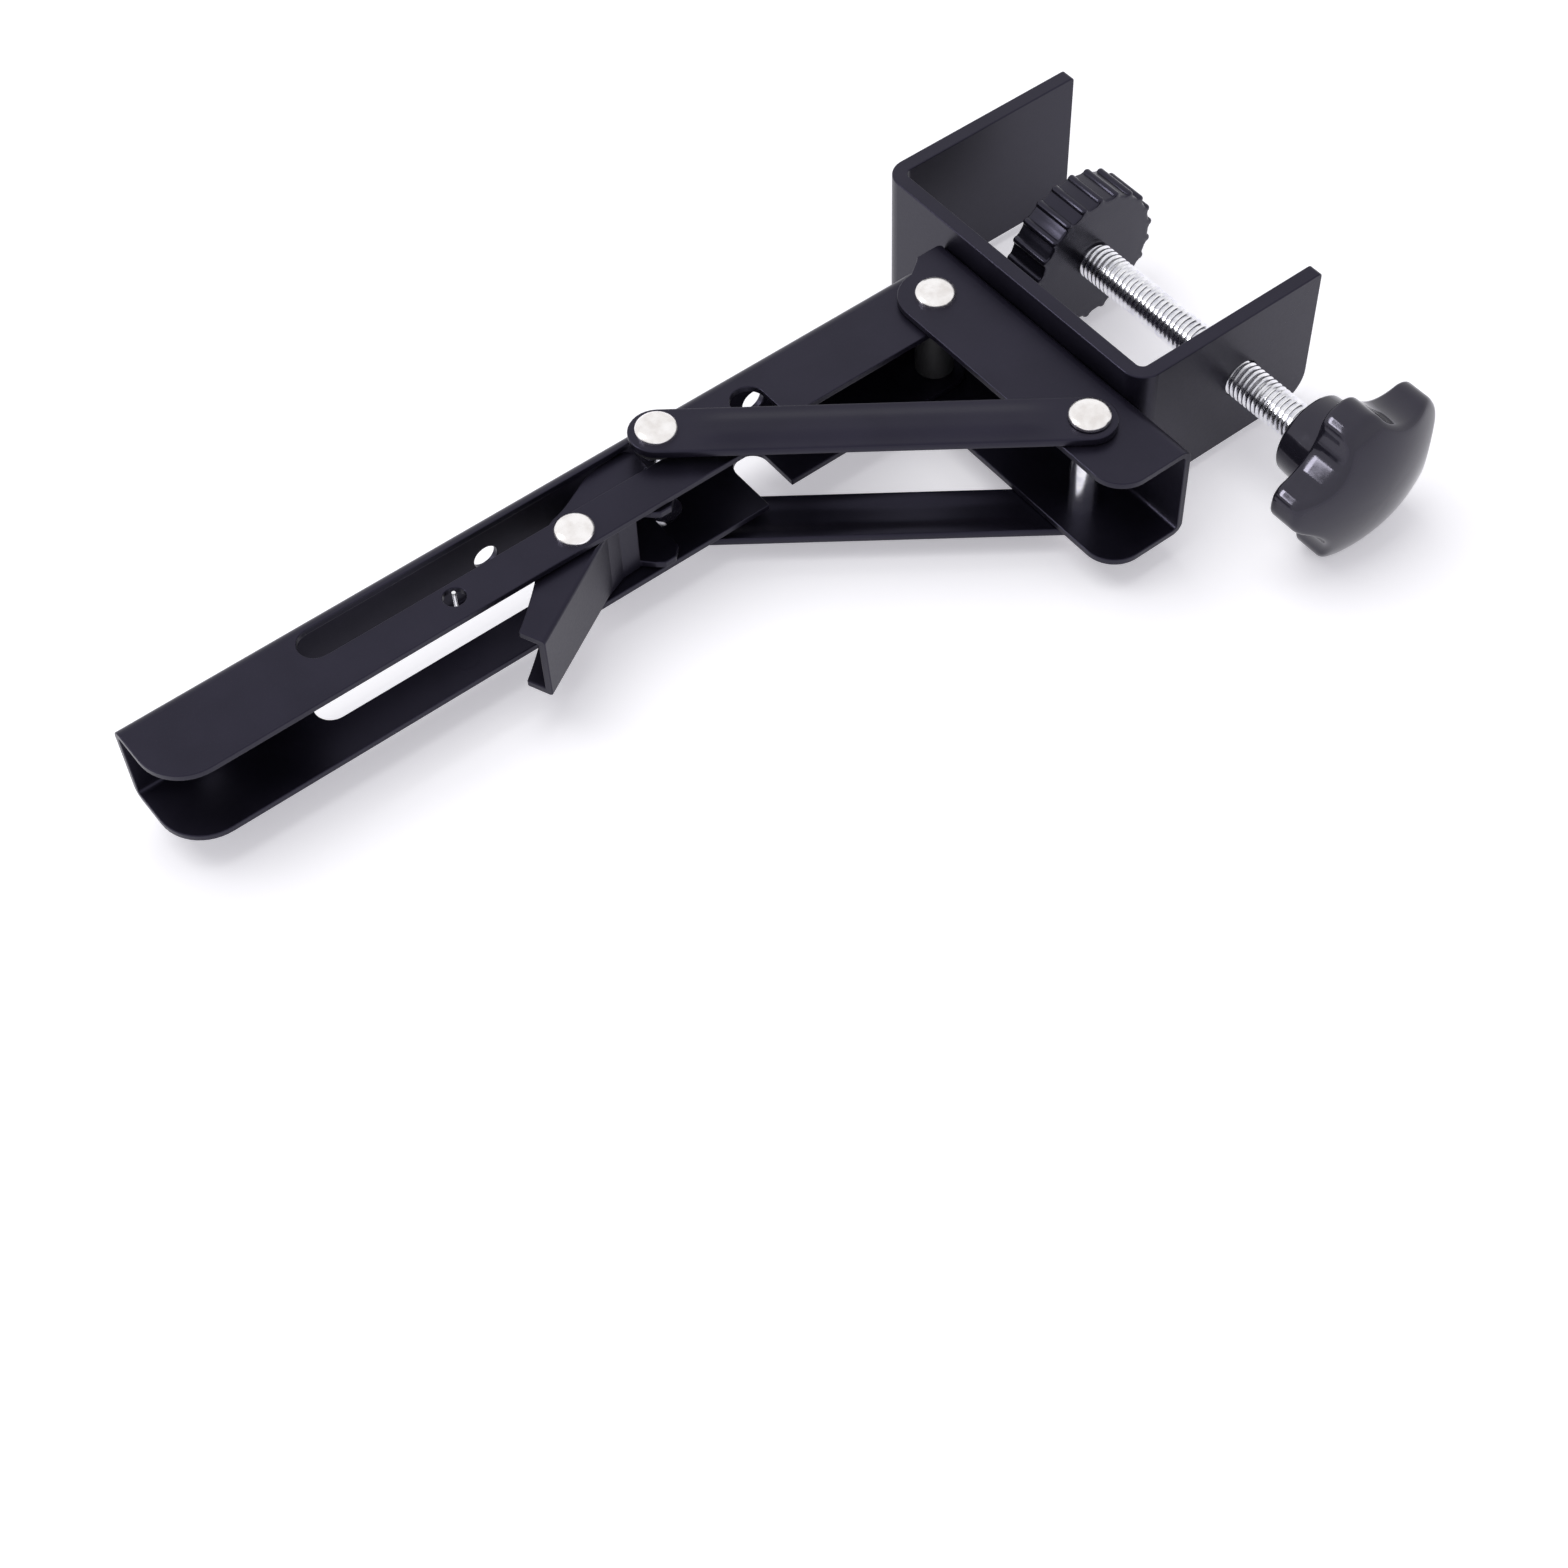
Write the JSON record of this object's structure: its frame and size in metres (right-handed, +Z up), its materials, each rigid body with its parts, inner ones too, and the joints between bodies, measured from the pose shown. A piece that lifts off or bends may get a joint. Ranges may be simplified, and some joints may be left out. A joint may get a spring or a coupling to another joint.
{
  "type": "folding keyboard tray bracket",
  "caption": "Folding steel bracket that clamps to a desk edge with a star knob screw; slotted arm on struts carries a keyboard tray.",
  "frame": {"origin": "underside of the upper clamp jaw, on the axis of the clamp screw", "axes": "+Z up as used, arm reaches out along -X, clamp mouth opens towards +X, pictured side is -Y"},
  "size_m": [0.3017, 0.047, 0.1479],
  "materials": {
    "powder_coat": "satin",
    "nickel": "polished",
    "zinc_rod": "satin",
    "dark_washer": "matte",
    "knob_plastic": "gloss",
    "pad_plastic": "satin"
  },
  "bodies": {
    "frame": {"clamp_plate": "powder_coat", "wall_channel": "powder_coat", "arm_pivot_rivet": "nickel", "arm_pivot_sleeve": "zinc_rod", "strut_pivot_rivet": "nickel", "strut_pivot_sleeve": "zinc_rod"},
    "arm": {"arm_channel": "powder_coat", "lever_pivot_rivet": "nickel", "lever_spring": "zinc_rod"},
    "struts": {"strut_near": "powder_coat", "strut_far": "powder_coat", "strut_end_rivet_near": "nickel", "strut_end_rivet_far": "nickel"},
    "rollers": {"slot_roller_near": "zinc_rod", "slot_roller_far": "zinc_rod", "slot_washer_near": "dark_washer", "slot_washer_far": "dark_washer"},
    "lever": {"release_lever": "powder_coat"},
    "pad": {"clamp_pad": "pad_plastic"},
    "screw": {"clamp_screw": "zinc_rod", "star_knob": "knob_plastic"}
  },
  "joints": [
    {"name": "arm_fold", "type": "hinge", "parent": "frame", "child": "arm", "pos_m": [-0.0493, 0, -0.034], "axis": [0, -1, 0], "range_deg": [0, 90]},
    {"name": "strut_swing", "type": "hinge", "parent": "frame", "child": "struts", "pos_m": [-0.0493, 0, -0.091], "axis": [0, -1, 0], "range_deg": [0, 124.35]},
    {"name": "slot_slide", "type": "slide", "parent": "arm", "child": "rollers", "axis": [-1, 0, 0], "range_m": [0, 0.0778]},
    {"name": "lever_release", "type": "hinge", "parent": "arm", "child": "lever", "pos_m": [-0.1626, 0, -0.039], "axis": [0, 1, 0], "range_deg": [0, 18], "stiffness_Nm_per_rad": 0.05, "springref_deg": -34.38, "deforming": ["lever_spring"]},
    {"name": "pad_slide", "type": "slide", "parent": "frame", "child": "pad", "axis": [0, 0, 1], "range_m": [-0.02, 0.0225]},
    {"name": "screw_spin", "type": "hinge", "parent": "pad", "child": "screw", "pos_m": [0, 0, -0.08], "axis": [0, 0, 1], "range_deg": [-4800, 5400]}
  ],
  "couplings": [
    {"joint": "strut_swing", "follows": "arm_fold", "ratio": 1.3813},
    {"joint": "slot_slide", "follows": "arm_fold", "m_per_rad": 0.049458},
    {"joint": "pad_slide", "follows": "screw_spin", "m_per_rad": 0.00023873}
  ]
}
